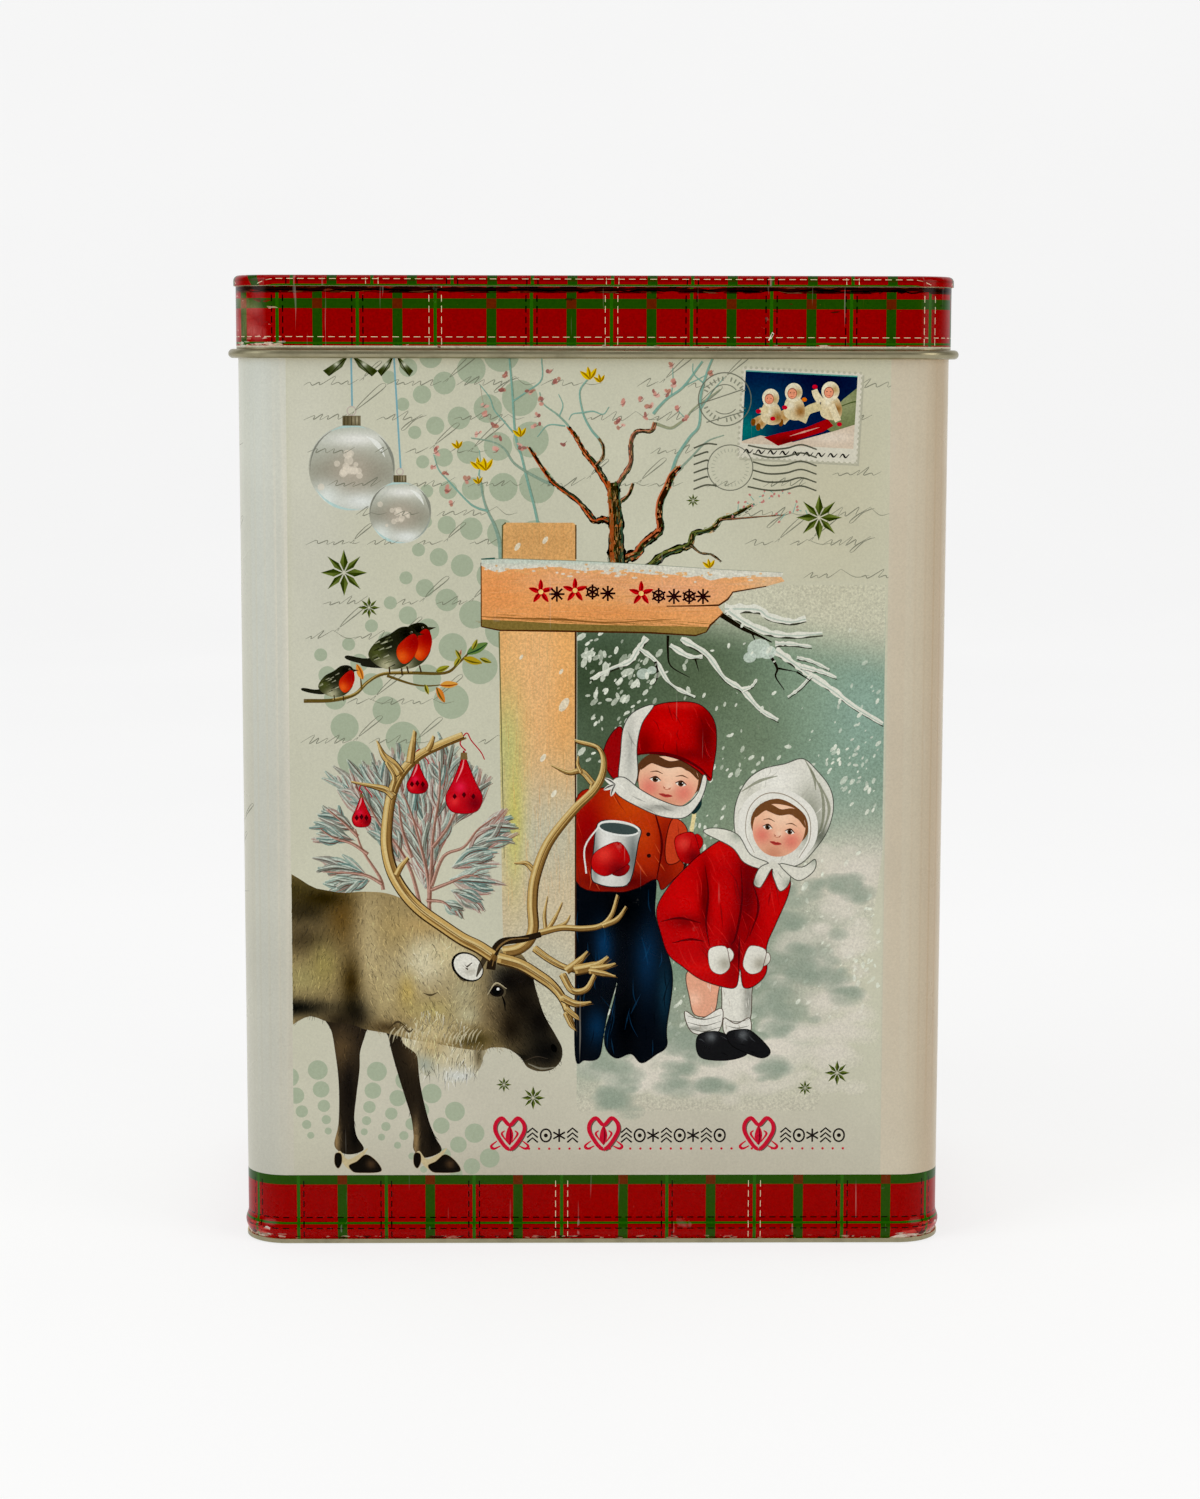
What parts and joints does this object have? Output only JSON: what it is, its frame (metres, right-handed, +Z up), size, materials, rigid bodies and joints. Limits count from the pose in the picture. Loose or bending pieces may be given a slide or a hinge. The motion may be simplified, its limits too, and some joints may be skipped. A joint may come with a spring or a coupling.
{
  "type": "cookie tin",
  "caption": "Tall rectangular tinplate cookie tin with rounded corners, a printed body and a slip-over lid with a rolled edge.",
  "frame": {"origin": "centre of the footprint, on the surface the tin rests on", "axes": "+Z up along the tin's height, the front face towards -Y, +X to the right of a viewer facing the front"},
  "size_m": [0.2014, 0.1334, 0.27],
  "materials": {
    "printed_body": "gloss varnish over a printed sheet",
    "printed_lid": "gloss varnish over a printed tartan",
    "bare_tinplate": "satin bare tinplate",
    "rolled_edge": "satin bare tinplate"
  },
  "bodies": {
    "tin": {"body_shell": "printed_body", "base_panel": "bare_tinplate"},
    "lid": {"lid_band": "rolled_edge", "lid_top": "printed_lid"}
  },
  "joints": [
    {"name": "lid_lift", "type": "slide", "parent": "tin", "child": "lid", "axis": [0, 0, 1], "range_m": [0, 0.08]}
  ]
}
